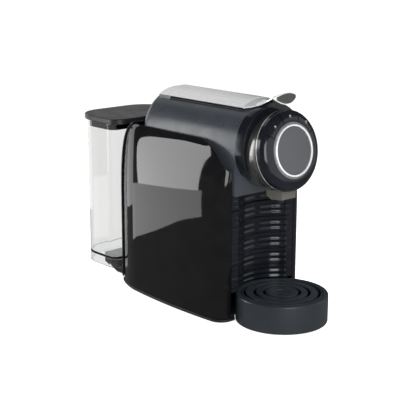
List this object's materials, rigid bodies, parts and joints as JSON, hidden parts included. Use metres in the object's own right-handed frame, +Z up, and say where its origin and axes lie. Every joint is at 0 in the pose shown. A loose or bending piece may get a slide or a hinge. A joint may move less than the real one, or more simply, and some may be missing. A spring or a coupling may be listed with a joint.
{
  "type": "pod coffee machine",
  "caption": "Slim pod coffee machine: glossy side panels, barrel top with lift lever, tilted dial with push buttons, round drip tray, capsule drawer and clear rear water tank.",
  "frame": {"origin": "on the table, under the middle of the machine's bounding box", "axes": "+Z up; -Y towards the user (dial side); the water tank is at +Y; the long way runs along Y"},
  "size_m": [0.149, 0.394, 0.283],
  "materials": {
    "piano_black": "high gloss moulded black",
    "slate": "satin slate grey paint look",
    "dark_satin": "satin dark grey",
    "black_plastic": "fine matte black",
    "rubber": "matte",
    "silver": "brushed satin silver",
    "chrome": "polished",
    "dial": "dark satin",
    "light_grey": "satin",
    "clear": "clear polished plastic",
    "steel": "turned",
    "aluminium": "cast",
    "brass": "satin",
    "board": "solder mask",
    "hose": "translucent silicone"
  },
  "bodies": {
    "machine": {"base_plate": "black_plastic", "foot_front_left": "rubber", "foot_front_right": "rubber", "foot_rear_left": "rubber", "foot_rear_right": "rubber", "side_panel_left": "piano_black", "side_panel_right": "piano_black", "rear_cover": "black_plastic", "top_cover": "slate", "front_fascia": "slate", "recess_header": "black_plastic", "head_drum": "slate", "head_collar": "black_plastic", "dial_bezel": "piano_black", "indicator_ring": "light_grey", "dial_ring": "chrome", "dial_disc": "dial", "spout_housing": "slate", "spout_nozzle": "black_plastic", "lever_pin": "steel", "brew_chamber": "black_plastic", "thermoblock": "aluminium", "pump": "brass", "pump_cradle": "black_plastic", "flow_meter": "light_grey", "control_board": "board", "chassis": "black_plastic", "inlet_pipe": "hose", "pump_pipe": "hose", "boiler_pipe": "hose", "tank_dock": "black_plastic", "valve_seat": "rubber", "cord_gland": "rubber"},
    "drawer": {"drawer_front": "piano_black", "capsule_bin": "black_plastic"},
    "tray": {"drip_tray": "dark_satin"},
    "grille": {"drip_grille": "dark_satin"},
    "lever": {"lever_plate": "silver", "lever_arm": "black_plastic", "lever_tip": "chrome"},
    "piston": {"brew_piston": "steel"},
    "tank": {"water_tank": "clear", "tank_valve": "black_plastic"},
    "lid": {"tank_lid": "black_plastic"},
    "button_l": {"button_left": "piano_black"},
    "button_m": {"button_middle": "piano_black"},
    "button_r": {"button_right": "piano_black"}
  },
  "joints": [
    {"name": "lever_lift", "type": "hinge", "parent": "machine", "child": "lever", "pos_m": [0, 0.046, 0.2615], "axis": [-1, 0, 0], "range_deg": [0, 80]},
    {"name": "piston_travel", "type": "slide", "parent": "machine", "child": "piston", "axis": [0, 1, 0], "range_m": [0, 0.025]},
    {"name": "button_left_press", "type": "slide", "parent": "machine", "child": "button_l", "axis": [0, 0.9877, -0.1564], "range_m": [0, 0.0015], "stiffness_N_per_m": 400},
    {"name": "button_middle_press", "type": "slide", "parent": "machine", "child": "button_m", "axis": [0, 0.9877, -0.1564], "range_m": [0, 0.0015], "stiffness_N_per_m": 400},
    {"name": "button_right_press", "type": "slide", "parent": "machine", "child": "button_r", "axis": [0, 0.9877, -0.1564], "range_m": [0, 0.0015], "stiffness_N_per_m": 400},
    {"name": "tray_slide", "type": "slide", "parent": "machine", "child": "tray", "axis": [0, -1, 0], "range_m": [0, 0.12]},
    {"name": "grille_lift", "type": "slide", "parent": "tray", "child": "grille", "axis": [0, 0, 1], "range_m": [0, 0.04]},
    {"name": "drawer_slide", "type": "slide", "parent": "machine", "child": "drawer", "axis": [0, -1, 0], "range_m": [0, 0.09]},
    {"name": "tank_lift", "type": "slide", "parent": "machine", "child": "tank", "axis": [0, 0, 1], "range_m": [0, 0.06]},
    {"name": "lid_lift", "type": "slide", "parent": "tank", "child": "lid", "axis": [0, 0, 1], "range_m": [0, 0.05]}
  ],
  "couplings": [
    {"joint": "piston_travel", "follows": "lever_lift", "m_per_rad": 0.0179}
  ]
}
